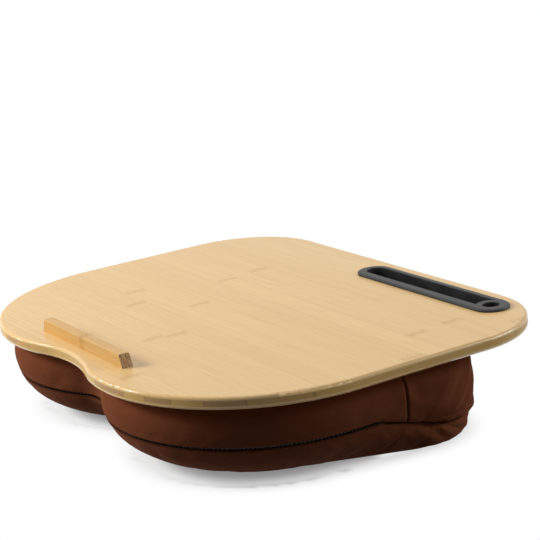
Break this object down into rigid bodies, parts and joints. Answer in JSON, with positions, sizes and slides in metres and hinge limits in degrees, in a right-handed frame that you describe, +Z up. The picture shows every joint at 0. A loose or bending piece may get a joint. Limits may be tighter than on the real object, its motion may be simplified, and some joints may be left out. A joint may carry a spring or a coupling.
{
  "type": "lap tray with cushion",
  "caption": "Kidney-shaped laminated bamboo lap tray with a laptop stop bar and a black phone slot and pen well, carried on a zipped fabric cushion",
  "frame": {"origin": "middle of the board's footprint, on the surface that the cushion's flat base rests on", "axes": "+X across the lap to the user's right, along the board's long side; +Y away from the user, from the notched front edge to the straight back edge; +Z up"},
  "size_m": [0.446, 0.342, 0.0925],
  "materials": {
    "bamboo_face": "clear satin lacquer on fine straight grain",
    "bamboo_core": "clear satin lacquer on end grain",
    "bamboo_stop": "clear satin lacquer, warmer bamboo with nodes",
    "screw_steel": "zinc plated",
    "black_plastic": "fine satin moulding",
    "cover_fabric": "brushed microfibre, short nap",
    "zipper_tape": "woven tape",
    "zipper_teeth": "moulded nylon",
    "zipper_metal": "dark enamelled zinc",
    "bag_cloth": "plain nonwoven",
    "filling": "loose foam beads",
    "hook_tape": "hook-and-loop tape"
  },
  "bodies": {
    "tray": {"board_top_ply": "bamboo_face", "board_core_ply": "bamboo_core", "board_bottom_ply": "bamboo_face", "laptop_stop": "bamboo_stop", "stop_screws": "screw_steel", "device_insert": "black_plastic", "cover_top_panel": "cover_fabric", "cover_front_band": "cover_fabric", "cover_rear_band": "cover_fabric", "cover_bottom_panel": "cover_fabric", "zipper_tape_upper": "zipper_tape", "zipper_tape_lower": "zipper_tape", "zipper_teeth_upper": "zipper_teeth", "zipper_teeth_lower": "zipper_teeth", "zipper_bottom_stop": "zipper_metal", "zipper_top_stops": "zipper_metal", "inner_bag": "bag_cloth", "cushion_filling": "filling", "hook_patches": "hook_tape", "loop_patches": "hook_tape"},
    "slider": {"zipper_slider": "zipper_metal"},
    "pull": {"zipper_pull": "zipper_metal"}
  },
  "joints": [
    {"name": "slider_run", "type": "slide", "parent": "tray", "child": "slider", "axis": [0, -1, 0], "range_m": [0, 0.022]},
    {"name": "pull_swing", "type": "hinge", "parent": "slider", "child": "pull", "pos_m": [-0.21024, 0.0055, 0.037], "axis": [0, 0, -1], "range_deg": [0, 165]}
  ]
}
